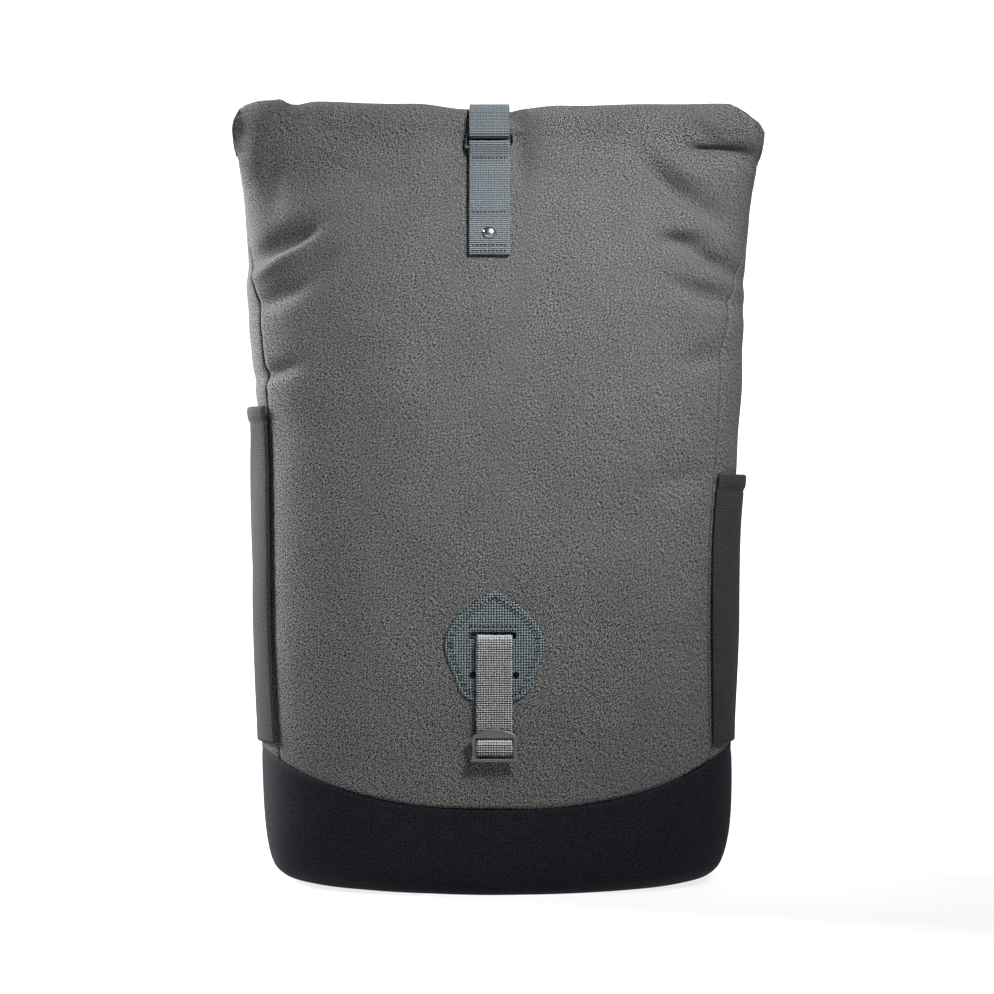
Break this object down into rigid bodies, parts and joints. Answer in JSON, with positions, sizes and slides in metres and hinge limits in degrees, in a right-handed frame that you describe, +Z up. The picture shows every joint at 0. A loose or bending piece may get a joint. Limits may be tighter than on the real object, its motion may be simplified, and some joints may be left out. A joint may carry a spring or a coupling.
{
  "type": "rolltop backpack",
  "caption": "Upright cloth rolltop backpack: rolled mouth held by a hooked webbing strap, dark boot, side pockets, lash point with slider, padded back and shoulder straps.",
  "frame": {"origin": "on the floor, under the middle of the box round the whole backpack", "axes": "+Z up from the base to the rolled mouth, which is the longest way; the front with the hooked strap and lash point faces -Y and the shoulder straps face +Y; +X is to the right as seen from the front"},
  "size_m": [0.329, 0.2154, 0.4903],
  "materials": {
    "canvas": "mottled grey polyester twill, matt",
    "boot_cloth": "black coated cloth, matt",
    "stretch_cloth": "dark grey elastic cloth with fine ribs",
    "webbing": "blue-grey polyester webbing with lengthwise ribs",
    "lash_webbing": "grey webbing with strong cross ribs",
    "ripstop": "smooth grey-green coated ripstop",
    "hook_metal": "black painted wire",
    "rivet_metal": "satin nickel",
    "slider_metal": "grey gunmetal, satin",
    "black_plastic": "black acetal, satin",
    "padding_mesh": "black spacer mesh over foam"
  },
  "bodies": {
    "root": {"front_panel": "canvas", "side_panel_left": "canvas", "side_panel_right": "canvas", "back_panel": "canvas", "roll_outer_cloth": "canvas", "roll_inner_cloth": "canvas", "base_boot": "boot_cloth", "side_pocket_left": "stretch_cloth", "side_pocket_right": "stretch_cloth", "closing_strap": "webbing", "closure_hook": "hook_metal", "catch_strap": "webbing", "catch_rivet": "rivet_metal", "lash_patch": "ripstop", "patch_stud_left": "black_plastic", "patch_stud_right": "black_plastic", "lash_strap": "lash_webbing", "lash_slider": "slider_metal", "back_pad": "padding_mesh", "haul_loop": "webbing", "shoulder_strap_left": "padding_mesh", "shoulder_strap_right": "padding_mesh", "strap_adjuster_left": "black_plastic", "strap_adjuster_right": "black_plastic", "adjusting_web_left": "webbing", "adjusting_web_right": "webbing", "anchor_tab_left": "boot_cloth", "anchor_tab_right": "boot_cloth"}
  },
  "joints": []
}
